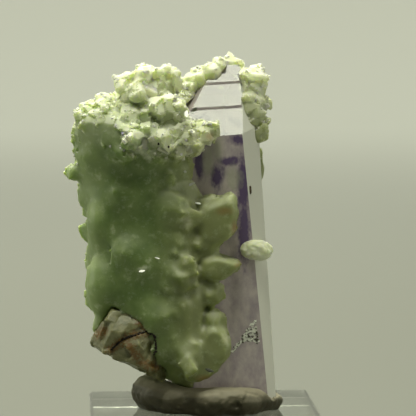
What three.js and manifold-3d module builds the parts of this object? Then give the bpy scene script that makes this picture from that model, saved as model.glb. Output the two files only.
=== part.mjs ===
// A tall purple quartz crystal with pale green prehnite grown along its left side and over its
// shoulders, held by a roll of putty on a square clear base.
// Millimetres, +Z up, +X to the viewer's right and +Y away from the viewer.
// The origin is the centre of the base's underside.

import * as THREE from 'three';
import { ConvexGeometry } from 'three/addons/geometries/ConvexGeometry.js';
import { mergeVertices } from 'three/addons/utils/BufferGeometryUtils.js';
import Module from 'manifold-3d';

const wasm = await Module();
wasm.setup();

// Gap kept between two pieces that touch.
const CONTACT_GAP = 0.3;

// The base is a sawn and polished square block with a fine bevel round its faces.
const BASE_SIDE = 38.1;
const BASE_HEIGHT = 10;
const BASE_BEVEL = 0.4;
const BASE_TURN = 3;

// The crystal's c axis starts at its foot and leans to the viewer's left.
const CRYSTAL_FOOT = new THREE.Vector3(6, 2, 12);
const CRYSTAL_LEAN = 3.7;

// Prism faces: the way each one looks (0 is the viewer, 90 the right), how far it leans in as
// it rises, and its distance from the axis at the foot.
const PRISM_SIDES = [
  { azimuth: 60, rise: 1.9, distance: 7.85 },
  { azimuth: 120, rise: -1.8, distance: 2.55 },
  { azimuth: 180, rise: 0.6, distance: 7.2 },
  { azimuth: 240, rise: 0.8, distance: 10.2 },
  { azimuth: 300, rise: 0.8, distance: 10.5 },
];

// Termination faces: the slope of each one, and the height at which it would meet the axis.
const TERMINATION = [
  { azimuth: 57.3, rise: 20.3, apex: 62.1 },
  { azimuth: 120, rise: 38.2, apex: 59.4 },
  { azimuth: 180, rise: 38.2, apex: 56.7 },
  { azimuth: 240, rise: 40, apex: 56.2 },
  { azimuth: 300, rise: 42.6, apex: 55.4 },
];

// The front is one prism face, then the big termination face in three bands parted by upright
// growth steps. Distances are from the axis at the foot of the face and at its top.
const FRONT_FOOT = 7.6;
const FRONT_TOP = 7.2;
const FRONT_SLOPE = 38.2;
const FIRST_BAND_HEIGHT = 44.1;
const GROWTH_BANDS = [
  { run: 3.35, step: 0.4 },
  { run: 2.8, step: 0.35 },
  { run: 6, step: 0 },
];
// How much the crystal's rough body has in front of its foot and below it, before the stepped
// front trims it, and half the width that the stepped front is drawn out to.
const FRONT_STOCK = 2;
const EXTRUDE_HALF_WIDTH = 15;

// Cross sections of the prehnite mass at rising heights: how far it reaches to the left, right,
// front and back.
const MASS_SECTIONS = [
  { z: 14.7, left: -6.2, right: 0.4, front: -8.4, back: 0 },
  { z: 16.4, left: -10.4, right: 1.6, front: -9.7, back: 4.5 },
  { z: 19.2, left: -14.6, right: 2.6, front: -10.3, back: 7.5 },
  { z: 22.6, left: -18, right: 2.8, front: -10.6, back: 9 },
  { z: 28, left: -18.6, right: 1.9, front: -10.8, back: 9.6 },
  { z: 33.5, left: -19.4, right: 1.6, front: -10.6, back: 10.2 },
  { z: 39, left: -19.2, right: 2.6, front: -10.4, back: 10.8 },
  { z: 44.5, left: -20, right: 1, front: -10, back: 11.2 },
  { z: 49.5, left: -20.8, right: -1.2, front: -10.2, back: 11.5 },
  { z: 53.5, left: -20.8, right: -0.8, front: -11.8, back: 11.4 },
  { z: 57, left: -19.8, right: -1.6, front: -12, back: 11 },
  { z: 60.2, left: -17.2, right: -3.6, front: -9.6, back: 10 },
  { z: 63.4, left: -13.8, right: -4.2, front: -5.6, back: 8 },
  { z: 65.4, left: -11.2, right: -5.6, front: -3, back: 4.6 },
];

// How square the cross sections are (1 is an ellipse), and how soon the ends of a body close.
const MASS_SQUARENESS = 0.72;
const END_FULLNESS = 2.2;
const END_ROUNDNESS = 0.6;

// What grows behind the crystal, from the left part of the mass to the strip on the right.
const BACK_SECTIONS = [
  { z: 31, left: -14, right: -5, front: 3, back: 11 },
  { z: 37, left: -13, right: 2.6, front: 3, back: 11.2 },
  { z: 44, left: -12, right: 6.4, front: 3, back: 11.6 },
  { z: 52, left: -12, right: 8.4, front: 2, back: 11.2 },
  { z: 60, left: -9.4, right: 8.2, front: 2.2, back: 10.4 },
  { z: 64, left: -2.2, right: 7.4, front: 3.4, back: 9 },
  { z: 65.6, left: -0.6, right: 6, front: 4.2, back: 7.4 },
];

// Rounded heads of the mass: place, half sizes, and how many blocky crystals of what size
// stand out of each one.
const HEADS = [
  // Cap at the upper left, with the nub below it.
  { at: [-16.2, -5, 56.9], reach: [4.6, 6.4, 5.4], blocks: 13, block: 1.6 },
  { at: [-18, -4.6, 53], reach: [3.2, 5.4, 3.4], blocks: 6, block: 1.3 },
  { at: [-18.8, 3.5, 52.6], reach: [2.4, 5, 5.6], blocks: 5, block: 1.6 },
  { at: [-21.6, -3, 50], reach: [1.3, 1.6, 1.3], blocks: 4, block: 1 },
  // Blocky group at the top.
  { at: [-10.6, -4, 62.8], reach: [3.2, 4.4, 3.4], blocks: 9, block: 1.7 },
  { at: [-7.4, -2.6, 63.6], reach: [2.6, 3.6, 2.6], blocks: 5, block: 1.8 },
  // Glassy head between the group and the crystal's tip.
  { at: [-6.2, -7.6, 60.2], reach: [3.1, 3.6, 2.4], blocks: 0, block: 0 },
  // Pale band that overhangs the front wall.
  { at: [-14.2, -10.4, 54.4], reach: [2.2, 2, 2.6], blocks: 6, block: 1.4 },
  { at: [-11, -11, 55.4], reach: [2.4, 2, 2.6], blocks: 6, block: 1.4 },
  { at: [-7.6, -11, 54.9], reach: [2.6, 2.2, 2.5], blocks: 7, block: 1.4 },
  { at: [-4, -10, 55.2], reach: [2.6, 2.4, 2.7], blocks: 7, block: 1.4 },
  { at: [-0.9, -7.2, 56.6], reach: [2.4, 2.4, 1.9], blocks: 6, block: 1.2 },
  // Crown that climbs behind the termination.
  { at: [-2.8, 2.2, 61.5], reach: [2.4, 2.6, 2.2], blocks: 5, block: 1.2 },
  { at: [-0.6, 4, 63.3], reach: [2.2, 2.6, 2], blocks: 5, block: 1.2 },
  { at: [1.5, 5.2, 64.8], reach: [2.1, 2.4, 1.9], blocks: 5, block: 1.2 },
  { at: [4.1, 5.8, 66.4], reach: [1.9, 2.2, 1.8], blocks: 6, block: 1.2 },
  // Crown on the right shoulder, and the strip behind the right face.
  { at: [8, 3.6, 64.4], reach: [2, 2.6, 2.2], blocks: 6, block: 1.2 },
  { at: [8.2, 2.6, 61.6], reach: [1.9, 2.6, 2.4], blocks: 5, block: 1.2 },
  { at: [8.5, 1.8, 58.8], reach: [1.6, 2.2, 2.2], blocks: 4, block: 1.1 },
  { at: [8.8, 1.6, 56.4], reach: [0.9, 1.6, 1.7], blocks: 0, block: 0 },
  { at: [8.5, 5.4, 49.6], reach: [1.3, 3.8, 3.7], blocks: 0, block: 0 },
  // Lobes that lap over the crystal's front face.
  { at: [1.2, -6.6, 44.4], reach: [2.6, 2.4, 2.2], blocks: 2, block: 1.3 },
  { at: [3.2, -6.4, 41.9], reach: [2.2, 1.9, 3.1], blocks: 1, block: 1.2 },
  { at: [0.6, -7.2, 38.2], reach: [2, 2.4, 2.6], blocks: 1, block: 1.2 },
  { at: [2.6, -6.6, 34.3], reach: [3.2, 2, 1.6], blocks: 1, block: 1 },
  { at: [1.2, -7, 30.2], reach: [2.2, 2.2, 2.4], blocks: 2, block: 1.1 },
  { at: [1.6, -7, 25.6], reach: [2.1, 2.2, 2.2], blocks: 1, block: 1.1 },
  { at: [1.4, -7.2, 21.4], reach: [2.7, 2.6, 3.6], blocks: 2, block: 1.3 },
  // Low swells of the front wall and of the left side.
  { at: [-19, -2, 45.8], reach: [2.1, 3.4, 2.6], blocks: 1, block: 1.1 },
  { at: [-16.8, -6, 42], reach: [2.5, 4, 5], blocks: 1, block: 1.2 },
  { at: [-16.8, -6.6, 31.6], reach: [2.6, 4, 5.4], blocks: 1, block: 1.2 },
  { at: [-17.2, 3, 36], reach: [2.3, 5, 6], blocks: 1, block: 1.6 },
  { at: [-12.4, -9.4, 46.6], reach: [3.4, 1.7, 3.6], blocks: 1, block: 1.2 },
  { at: [-12, -9.8, 36.6], reach: [3.6, 1.7, 4], blocks: 1, block: 1.2 },
  { at: [-5.6, -9.4, 44.2], reach: [3.2, 2, 3.4], blocks: 1, block: 1.2 },
  { at: [-4.4, -9.4, 33.4], reach: [3.6, 2.1, 3.6], blocks: 1, block: 1.2 },
  { at: [-7.6, -9.6, 26.2], reach: [3.8, 2, 3.8], blocks: 1, block: 1.2 },
  { at: [-2.6, -9, 20.4], reach: [3.4, 2.2, 3], blocks: 1, block: 1.2 },
];

// Single large tabular crystals: place, sizes, and turns about X, Y and Z.
const LARGE_TABLETS = [
  { at: [-7.6, -3.6, 65.2], size: [5, 4.4, 3.2], turn: [6, 1, 14] },
  { at: [-10.9, -4.6, 64.2], size: [3.4, 3.6, 3], turn: [-12, -16, 30] },
  { at: [2.6, -7.6, 43.4], size: [3.6, 2.4, 2.8], turn: [8, -24, 10] },
  { at: [1.4, 4.8, 66.3], size: [2, 1.6, 1.5], turn: [12, 28, 30] },
  { at: [4.2, 5.2, 68], size: [1.1, 1, 2.2], turn: [8, -4, 40] },
  { at: [9.2, 3.2, 65.4], size: [1.6, 1.8, 2], turn: [12, 20, 30] },
  { at: [10.2, 2, 60.2], size: [1.7, 0.9, 0.9], turn: [10, -34, 20] },
  { at: [-13.9, -12.2, 53.6], size: [1.6, 1.2, 2.2], turn: [14, -42, 8] },
  { at: [-21.5, -4.2, 49.4], size: [2.4, 1.4, 1.5], turn: [8, 20, 14] },
];

// Heads smaller than this have twelve faces, and the larger ones eighty. Both are drawn a
// little large, because their flat faces lie inside the rounded head.
const SMALL_HEAD = 4.2;
const SMALL_HEAD_EXCESS = 1.06;
const LARGE_HEAD_EXCESS = 1.03;

// Blocky crystals of a head: their proportions, how far out they sit as a share of the head's
// half sizes, and how much they tip.
const BLOCK_SIDES = [1.1, 0.8, 1];
const BLOCK_SEAT = 0.93;
const BLOCK_TIP = 50;

// Heads on the back of the mass, which the photograph does not show. They climb it in a
// spiral, and the back bulges most at its middle.
const BACK_HEADS = { count: 12, low: 26, high: 60, left: -17.5, right: -3.5, size: 2.2 };
const BACK_BULGE = { middle: -6, depth: 9, fall: 0.035 };

// Uneven rows of heads behind the crystal, which the photograph does not show either.
const BEHIND_HEADS = { rows: 5, columns: 3, pitch: [4.6, 5.9], start: [-5, 38.6], size: 2.2 };
const BEHIND_BULGE = { middle: 0.5, depth: 10.4, fall: 0.03, slant: 0.04, top: 56 };
const GOLDEN_TURN = 2.39996;
const MASS_SEED = 42;

// The bud is a lens of prehnite tablets that share one long axis.
const BUD_CENTRE = new THREE.Vector3(8.7, -5.3, 37.1);
const BUD_REACH = [2.7, 1.9, 1.55];
const BUD_TABLETS = 3;
const BUD_TABLET_THICKNESS = 0.5;
const BUD_FAN = 26;

// The rusty quartz is a stout crystal that lies in the foot of the mass. Each face has the
// way it looks, its slope and its reach from the crystal's middle.
const RUSTY_CENTRE = new THREE.Vector3(-12.9, -7, 22.6);
const RUSTY_FACES = [
  { azimuth: -4, rise: -8, reach: 4.3 },
  { azimuth: 8, rise: 32, reach: 4.5 },
  { azimuth: -50, rise: 4, reach: 5 },
  { azimuth: 46, rise: -2, reach: 5.1 },
  { azimuth: -90, rise: 33, reach: 4.5 },
  { azimuth: -86, rise: -4, reach: 5.5 },
  { azimuth: 84, rise: 70, reach: 4.6 },
  { azimuth: 90, rise: 10, reach: 5.2 },
  { azimuth: -80, rise: -64, reach: 3.2 },
  { azimuth: -30, rise: -50, reach: 4.4 },
  { azimuth: 180, rise: 0, reach: 3.6 },
  { azimuth: 172, rise: 48, reach: 4.4 },
  { azimuth: 190, rise: -48, reach: 4 },
];
// Below its crack the rusty quartz has slipped forward and down a little.
const CRACK = { tilt: 16, height: -0.4, slip: 0.45 };

// Putty: the middle of the roll from its left end to its tail, and the half height there.
const PUTTY_ROLL = [
  { at: [-9.8, 3.4], radius: 2.4 },
  { at: [-9.3, -0.6], radius: 3 },
  { at: [-6.6, -4.4], radius: 2.75 },
  { at: [-2.4, -7], radius: 2.25 },
  { at: [2.6, -7.9], radius: 2.4 },
  { at: [7, -6.8], radius: 2.3 },
  { at: [10.4, -3.4], radius: 1.8 },
  { at: [13.2, 0.8], radius: 1.25 },
];
const PUTTY_PAD = { at: [4.4, 0.2], reach: [8.2, 8, 3] };
// The roll is pressed flatter than it is wide, and its ends are blunt.
const PUTTY_PRESS = 0.85;
const PUTTY_SPREAD = 1.08;
const PUTTY_BLUNTNESS = 3.2;
const PUTTY_SIDES = 12;
const PUTTY_STEPS = 22;

const WELD_DISTANCE = 1e-4;
const FACE_TOLERANCE = 1e-6;

function radians(degrees) {
  return degrees * Math.PI / 180;
}

// A row of repeatable numbers between 0 and 1.
function makeRandom(seed) {
  let state = seed;
  return () => {
    state = (state * 16807) % 2147483647;
    return state / 2147483647;
  };
}

function solidFrom(geometry) {
  const plain = geometry.clone();
  plain.deleteAttribute('normal');
  plain.deleteAttribute('uv');
  const welded = mergeVertices(plain, WELD_DISTANCE);
  return new wasm.Manifold(new wasm.Mesh({
    numProp: 3,
    vertProperties: new Float32Array(welded.attributes.position.array),
    triVerts: new Uint32Array(welded.index.array),
  }));
}

function geometryFrom(solid) {
  const mesh = solid.getMesh();
  const geometry = new THREE.BufferGeometry();
  const corners = new Float32Array(mesh.vertProperties);
  geometry.setAttribute('position', new THREE.BufferAttribute(corners, 3));
  geometry.setIndex(new THREE.BufferAttribute(new Uint32Array(mesh.triVerts), 1));
  geometry.computeVertexNormals();
  return geometry;
}

// A geometry scaled, turned and then moved to its place, as a solid.
function placedSolid(geometry, at, scale, turn) {
  const place = new THREE.Matrix4().compose(
    new THREE.Vector3(...at),
    new THREE.Quaternion().setFromEuler(new THREE.Euler(...turn.map(radians))),
    new THREE.Vector3(...scale),
  );
  return solidFrom(geometry.clone().applyMatrix4(place));
}

function joined(solids) {
  return solids.reduce((sum, next) => sum.add(next));
}

// The plane of a crystal face, moved outwards by a clearance.
function facePlane(face, clearance) {
  const azimuth = radians(face.azimuth);
  const rise = radians(face.rise);
  const normal = new THREE.Vector3(
    Math.sin(azimuth) * Math.cos(rise),
    -Math.cos(azimuth) * Math.cos(rise),
    Math.sin(rise),
  );
  let reach = face.reach;
  if (face.distance !== undefined) {
    reach = face.distance * Math.cos(rise);
  } else if (face.apex !== undefined) {
    reach = face.apex * Math.sin(rise);
  }
  return { normal, reach: reach + clearance };
}

// The point that three planes share, or null where two of them are parallel.
function sharedPoint(a, b, c) {
  const bc = new THREE.Vector3().crossVectors(b.normal, c.normal);
  const ca = new THREE.Vector3().crossVectors(c.normal, a.normal);
  const ab = new THREE.Vector3().crossVectors(a.normal, b.normal);
  const volume = a.normal.dot(bc);
  if (Math.abs(volume) < FACE_TOLERANCE) {
    return null;
  }
  return bc.multiplyScalar(a.reach)
    .addScaledVector(ca, b.reach)
    .addScaledVector(ab, c.reach)
    .divideScalar(volume);
}

// The convex body that flat crystal faces close in.
function crystalBody(planes) {
  const corners = [];
  for (let i = 0; i < planes.length; i += 1) {
    for (let j = i + 1; j < planes.length; j += 1) {
      for (let k = j + 1; k < planes.length; k += 1) {
        const corner = sharedPoint(planes[i], planes[j], planes[k]);
        if (corner && planes.every((p) => p.normal.dot(corner) <= p.reach + FACE_TOLERANCE)) {
          corners.push(corner);
        }
      }
    }
  }
  return new ConvexGeometry(corners);
}

// The stepped front of the amethyst: its outline seen from the side, drawn out sideways.
function steppedFront(clearance) {
  const climb = 1 / Math.tan(radians(FRONT_SLOPE));
  const outline = [new THREE.Vector2(-FRONT_FOOT, -FRONT_STOCK), new THREE.Vector2(-FRONT_FOOT, 0)];
  const corner = new THREE.Vector2(-FRONT_TOP, FIRST_BAND_HEIGHT);
  outline.push(corner.clone());
  for (const band of GROWTH_BANDS) {
    corner.add(new THREE.Vector2(band.run, band.run * climb));
    outline.push(corner.clone());
    if (band.step > 0) {
      corner.y += band.step;
      outline.push(corner.clone());
    }
  }
  outline.push(new THREE.Vector2(EXTRUDE_HALF_WIDTH, corner.y));
  outline.push(new THREE.Vector2(EXTRUDE_HALF_WIDTH, -FRONT_STOCK));
  // This shift moves the upright and the sloping faces outwards by the same clearance.
  const lift = (1 - Math.cos(radians(FRONT_SLOPE))) / Math.sin(radians(FRONT_SLOPE));
  const shape = new THREE.Shape(outline);
  return new THREE.ExtrudeGeometry(shape, { depth: 2 * EXTRUDE_HALF_WIDTH, bevelEnabled: false })
    .translate(-clearance, lift * clearance, -EXTRUDE_HALF_WIDTH)
    .applyMatrix4(new THREE.Matrix4().makeBasis(
      new THREE.Vector3(0, 1, 0),
      new THREE.Vector3(0, 0, 1),
      new THREE.Vector3(1, 0, 0),
    ));
}

// The amethyst: its flat faces close in one body, and the stepped front trims it.
function amethystSolid(clearance) {
  const foot = { normal: new THREE.Vector3(0, 0, -1), reach: clearance };
  const place = new THREE.Matrix4()
    .makeTranslation(CRYSTAL_FOOT)
    .multiply(new THREE.Matrix4().makeRotationY(radians(-CRYSTAL_LEAN)));
  const planes = [...PRISM_SIDES, ...TERMINATION].map((face) => facePlane(face, clearance));
  const front = { normal: new THREE.Vector3(0, -1, 0), reach: FRONT_FOOT + FRONT_STOCK };
  const body = solidFrom(crystalBody([foot, front, ...planes]).applyMatrix4(place));
  return body.intersect(solidFrom(steppedFront(clearance).applyMatrix4(place)));
}

// The same geometry with its faces looking the other way.
function facesTurned(geometry) {
  const order = geometry.index.array;
  for (let i = 0; i < order.length; i += 3) {
    [order[i + 1], order[i + 2]] = [order[i + 2], order[i + 1]];
  }
  return geometry;
}

// A body through rounded cross sections, swelled in and out a little. It is a ball whose rows
// of points are moved onto the sections.
function loftSolid(sections, sides, rows, swell) {
  const ball = new THREE.SphereGeometry(1, sides, rows);
  const spots = ball.attributes.position;
  const edges = ['left', 'right', 'front', 'back'].map((key) => (
    new THREE.SplineCurve(sections.map((section) => new THREE.Vector2(section.z, section[key])))
  ));
  for (let i = 0; i < spots.count; i += 1) {
    const polar = Math.acos(THREE.MathUtils.clamp(spots.getY(i), -1, 1));
    const climb = 1 - polar / Math.PI;
    const around = Math.atan2(spots.getZ(i), spots.getX(i));
    const fullness = Math.min(1, Math.sin(polar) * END_FULLNESS) ** END_ROUNDNESS;
    const [left, right, front, back] = edges.map((edge) => edge.getPoint(climb).y);
    const middleX = (left + right) / 2;
    const middleY = (front + back) / 2;
    const halfX = (right - left) / 2;
    const halfY = (back - front) / 2;
    const roundX = Math.sign(Math.cos(around)) * Math.abs(Math.cos(around)) ** MASS_SQUARENESS;
    const roundY = Math.sign(Math.sin(around)) * Math.abs(Math.sin(around)) ** MASS_SQUARENESS;
    const z = edges[0].getPoint(climb).x;
    const wave = Math.sin(z * 0.9 + around * 3) + Math.sin(z * 0.47 - around * 5 + 1.7);
    const spread = fullness * (1 + swell * wave / Math.max(halfX, halfY));
    spots.setXYZ(i, middleX + halfX * roundX * spread, middleY + halfY * roundY * spread, z);
  }
  return solidFrom(facesTurned(ball));
}

// A rounded head with blocky crystals standing out of its upper and outer sides.
function headSolids(head, random) {
  const small = Math.max(...head.reach) < SMALL_HEAD;
  const ball = small
    ? new THREE.DodecahedronGeometry(SMALL_HEAD_EXCESS)
    : new THREE.IcosahedronGeometry(LARGE_HEAD_EXCESS, 1);
  const start = random() * 2 * Math.PI;
  const solids = [placedSolid(ball, head.at, head.reach, [0, 0, 0])];
  for (let i = 0; i < head.blocks; i += 1) {
    const height = 0.95 - 1.5 * (i + 0.5) / head.blocks;
    const ring = Math.sqrt(1 - height * height);
    const turn = i * GOLDEN_TURN + start;
    const out = [ring * Math.cos(turn), ring * Math.sin(turn), height];
    const at = out.map((step, axis) => head.at[axis] + step * head.reach[axis] * BLOCK_SEAT);
    const grow = 0.7 + 0.6 * random();
    const size = BLOCK_SIDES.map((side) => side * grow * head.block);
    const tip = [(random() - 0.5) * BLOCK_TIP, (random() - 0.5) * BLOCK_TIP, random() * 180];
    solids.push(placedSolid(new THREE.BoxGeometry(1, 1, 1), at, size, tip));
  }
  return solids;
}

// Heads on the back of the mass, which climb it in a spiral.
function backHeads(random) {
  const { count, low, high, left, right, size } = BACK_HEADS;
  const heads = [];
  for (let i = 0; i < count; i += 1) {
    const x = THREE.MathUtils.lerp(left, right, (i * GOLDEN_TURN / Math.PI) % 1);
    const y = BACK_BULGE.depth - BACK_BULGE.fall * (x - BACK_BULGE.middle) ** 2;
    const z = THREE.MathUtils.lerp(low, high, (i + 0.5) / count);
    const half = size + 1.4 * random();
    heads.push({ at: [x, y, z], reach: [half * 1.2, half * 0.9, half], blocks: i % 2, block: 1.8 });
  }
  return heads;
}

// Uneven rows of heads behind the crystal, each set half a step across from the one below.
function behindHeads(random) {
  const { rows, columns, pitch, start, size } = BEHIND_HEADS;
  const bulge = BEHIND_BULGE;
  const heads = [];
  for (let row = 0; row < rows; row += 1) {
    for (let column = 0; column < columns; column += 1) {
      const x = start[0] + pitch[0] * (column + (row % 2) / 2 + 0.3 * (random() - 0.5));
      const z = start[1] + pitch[1] * (row + 0.4 * (random() - 0.5));
      const fall = bulge.fall * (x - bulge.middle) ** 2 + bulge.slant * Math.max(0, z - bulge.top);
      const half = size + 1.2 * random();
      const reach = [half * 1.1, half * 0.8, half];
      heads.push({ at: [x, bulge.depth - fall, z], reach, blocks: row % 2, block: 1.6 });
    }
  }
  return heads;
}

function rustySolid(clearance) {
  const planes = RUSTY_FACES.map((face) => facePlane(face, clearance));
  const tilt = radians(CRACK.tilt);
  const up = new THREE.Vector3(-Math.sin(tilt), 0, Math.cos(tilt));
  const upper = crystalBody([...planes, { normal: up.clone().negate(), reach: -CRACK.height }]);
  const lower = crystalBody([...planes, { normal: up, reach: CRACK.height + FACE_TOLERANCE }]);
  lower.translate(0, -CRACK.slip, -CRACK.slip / 3);
  const place = new THREE.Matrix4().makeTranslation(RUSTY_CENTRE);
  const bridge = crystalBody(planes.map((p) => ({ normal: p.normal, reach: p.reach - 1 })));
  return joined([upper, lower, bridge].map((body) => solidFrom(body.applyMatrix4(place))));
}

function prehniteSolid() {
  const random = makeRandom(MASS_SEED);
  const main = loftSolid(MASS_SECTIONS, 22, 20, 0.3);
  const behind = loftSolid(BACK_SECTIONS, 14, 9, 0.2);
  const heads = [...HEADS, ...backHeads(random), ...behindHeads(random)];
  const tablets = LARGE_TABLETS.map((tablet) => (
    placedSolid(new THREE.BoxGeometry(1, 1, 1), tablet.at, tablet.size, tablet.turn)
  ));
  return joined([main, behind, ...heads.flatMap((head) => headSolids(head, random)), ...tablets])
    .subtract(amethystSolid(CONTACT_GAP))
    .subtract(rustySolid(CONTACT_GAP));
}

// The bud: a faceted lens, and tablets that fan about its long axis.
function budSolid() {
  const middle = BUD_CENTRE.toArray();
  const solids = [placedSolid(new THREE.IcosahedronGeometry(1, 1), middle, BUD_REACH, [0, 0, 0])];
  for (let i = 0; i < BUD_TABLETS; i += 1) {
    const fan = THREE.MathUtils.lerp(-BUD_FAN, BUD_FAN, i / (BUD_TABLETS - 1));
    const size = [BUD_REACH[0] * 1.5, BUD_REACH[1] * 1.5, BUD_TABLET_THICKNESS];
    solids.push(placedSolid(new THREE.BoxGeometry(1, 1, 1), middle, size, [fan * 1.5, fan, 0]));
  }
  return joined(solids).subtract(amethystSolid(CONTACT_GAP));
}

// The putty roll: a ball drawn out along the roll's middle and pressed flat on the base.
function rollSolid(floor) {
  const middle = new THREE.CatmullRomCurve3(
    PUTTY_ROLL.map((knot) => new THREE.Vector3(...knot.at, floor + knot.radius * PUTTY_PRESS)),
  );
  const girth = new THREE.SplineCurve(
    PUTTY_ROLL.map((knot, i) => new THREE.Vector2(i, knot.radius)),
  );
  const ball = new THREE.SphereGeometry(1, PUTTY_SIDES, PUTTY_STEPS);
  const spots = ball.attributes.position;
  const up = new THREE.Vector3(0, 0, 1);
  for (let i = 0; i < spots.count; i += 1) {
    const polar = Math.acos(THREE.MathUtils.clamp(spots.getY(i), -1, 1));
    const around = Math.atan2(spots.getZ(i), spots.getX(i));
    const along = polar / Math.PI;
    const side = new THREE.Vector3().crossVectors(middle.getTangent(along), up).normalize();
    const radius = girth.getPoint(along).y * Math.sqrt(Math.min(1, Math.sin(polar) * PUTTY_BLUNTNESS));
    const spot = middle.getPoint(along)
      .addScaledVector(side, radius * PUTTY_SPREAD * Math.cos(around))
      .addScaledVector(up, radius * Math.sin(around));
    spots.setXYZ(i, spot.x, spot.y, Math.max(spot.z, floor));
  }
  return solidFrom(facesTurned(ball));
}

// The putty: its roll, and the pad that the crystal's foot has sunk into.
function puttySolid(prehnite) {
  const floor = BASE_HEIGHT + CONTACT_GAP;
  const rim = new THREE.EllipseCurve(0, 0, 1, 1, 0, Math.PI / 2).getPoints(5);
  const dome = new THREE.LatheGeometry([new THREE.Vector2(0, 0), ...rim], 20);
  const [reachX, reachY, height] = PUTTY_PAD.reach;
  const pad = placedSolid(dome, [...PUTTY_PAD.at, floor], [reachX, height, reachY], [90, 0, 0]);
  return rollSolid(floor).add(pad)
    .subtract(amethystSolid(CONTACT_GAP))
    .subtract(prehnite)
    .subtract(prehnite.translate([0, 0, -CONTACT_GAP]));
}

// The base: a square slab with bevelled edges, turned a little on the vertical.
function baseSolid() {
  const half = BASE_SIDE / 2 - BASE_BEVEL;
  const outline = new THREE.Shape([
    new THREE.Vector2(-half, -half),
    new THREE.Vector2(half, -half),
    new THREE.Vector2(half, half),
    new THREE.Vector2(-half, half),
  ]);
  const slab = new THREE.ExtrudeGeometry(outline, {
    depth: BASE_HEIGHT - 2 * BASE_BEVEL,
    bevelThickness: BASE_BEVEL,
    bevelSize: BASE_BEVEL,
    bevelSegments: 1,
  });
  return placedSolid(slab, [0, 0, BASE_BEVEL], [1, 1, 1], [0, 0, BASE_TURN]);
}

function namedMesh(name, solid, look) {
  const mesh = new THREE.Mesh(
    geometryFrom(solid),
    new THREE.MeshStandardMaterial({ flatShading: true, metalness: 0, ...look }),
  );
  mesh.name = name;
  return mesh;
}

const prehnite = prehniteSolid();

const specimen = new THREE.Group();
specimen.add(namedMesh('amethyst_crystal', amethystSolid(0), { color: 0x8d8494, roughness: 0.05 }));
specimen.add(namedMesh('prehnite_mass', prehnite, { color: 0x8fa36a, roughness: 0.45 }));
specimen.add(namedMesh('prehnite_bud', budSolid(), { color: 0xb0b98c, roughness: 0.45 }));
specimen.add(namedMesh('rusty_quartz', rustySolid(0), { color: 0x86805c, roughness: 0.3 }));
specimen.add(namedMesh('mounting_putty', puttySolid(prehnite), { color: 0x5b5846, roughness: 0.8 }));
specimen.add(namedMesh('display_base', baseSolid(), { color: 0xdfe2da, roughness: 0.05 }));

export default specimen;
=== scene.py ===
import math

import bmesh
import bpy
import numpy as np
from mathutils import Matrix, Vector, kdtree, noise
from mathutils.bvhtree import BVHTree


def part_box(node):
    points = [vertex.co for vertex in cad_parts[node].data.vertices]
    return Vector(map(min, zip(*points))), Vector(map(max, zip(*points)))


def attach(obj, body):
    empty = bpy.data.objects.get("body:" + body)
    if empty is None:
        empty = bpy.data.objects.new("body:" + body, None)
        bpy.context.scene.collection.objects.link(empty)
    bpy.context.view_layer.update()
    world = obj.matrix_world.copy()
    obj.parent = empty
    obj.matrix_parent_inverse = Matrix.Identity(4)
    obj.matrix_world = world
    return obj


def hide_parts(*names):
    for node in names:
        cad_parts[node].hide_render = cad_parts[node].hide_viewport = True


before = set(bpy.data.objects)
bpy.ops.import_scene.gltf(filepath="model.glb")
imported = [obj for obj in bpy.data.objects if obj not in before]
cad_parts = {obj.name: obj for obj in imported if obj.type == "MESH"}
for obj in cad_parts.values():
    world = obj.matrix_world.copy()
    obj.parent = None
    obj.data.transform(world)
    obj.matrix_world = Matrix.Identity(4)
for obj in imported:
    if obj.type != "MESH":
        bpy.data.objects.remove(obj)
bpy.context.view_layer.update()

MM = 0.001

# Studio. The specimen stands on a pale floor that sweeps up behind it. One large softbox hangs
# overhead, a little towards the viewer, a second one lights the sweep, and the room is dim.
VIEW_TARGET = Vector((0.667, 0, 43.63)) * MM
VIEW_DISTANCE = 450 * MM
VIEW_ELEVATION = math.radians(5)
PICTURE_SIDE_PX = 416
PX_PER_MM = 6
SENSOR_MM = 36


def rgb(hex_colour):
    """sRGB hex to the linear colour that the shaders use, with alpha 1."""
    parts = [int(hex_colour[i:i + 2], 16) / 255 for i in (1, 3, 5)]
    return [p / 12.92 if p <= 0.04045 else ((p + 0.055) / 1.055) ** 2.4 for p in parts] + [1]


def add(tree, kind, inputs=None, stops=(), **settings):
    """Adds a shader node. An input is given a value, or an output socket to be linked to. Stops are
    the places and colours of a colour ramp."""
    made = tree.nodes.new(kind)
    for name, value in settings.items():
        setattr(made, name, value)
    for name, value in (inputs or {}).items():
        socket = made.inputs[name]
        if isinstance(value, bpy.types.NodeSocket):
            tree.links.new(value, socket)
        else:
            socket.default_value = value
    for i, (position, colour) in enumerate(stops):
        stop = made.color_ramp.elements[i] if i < 2 else made.color_ramp.elements.new(position)
        stop.position = position
        stop.color = rgb(colour)
    return made


def layered(tree, skin, layers):
    """A colour with others laid over it in turn, each given as its share and its hex colour."""
    for share, colour in layers:
        layer = add(tree, "ShaderNodeMix", {
            "Factor": share, "A": skin, "B": rgb(colour),
        }, data_type="RGBA")
        skin = layer.outputs["Result"]
    return skin


def new_material(name):
    """An empty material and its node tree."""
    material = bpy.data.materials.new(name)
    material.use_nodes = True
    material.node_tree.nodes.clear()
    return material, material.node_tree


def show(name, mesh, material, smooth=False):
    """Puts a mesh in the scene under a name, with its material."""
    piece = bpy.data.objects.new(name, mesh)
    bpy.context.scene.collection.objects.link(piece)
    mesh.materials.clear()
    mesh.materials.append(material)
    mesh.polygons.foreach_set("use_smooth", [smooth] * len(mesh.polygons))
    return piece


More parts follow.
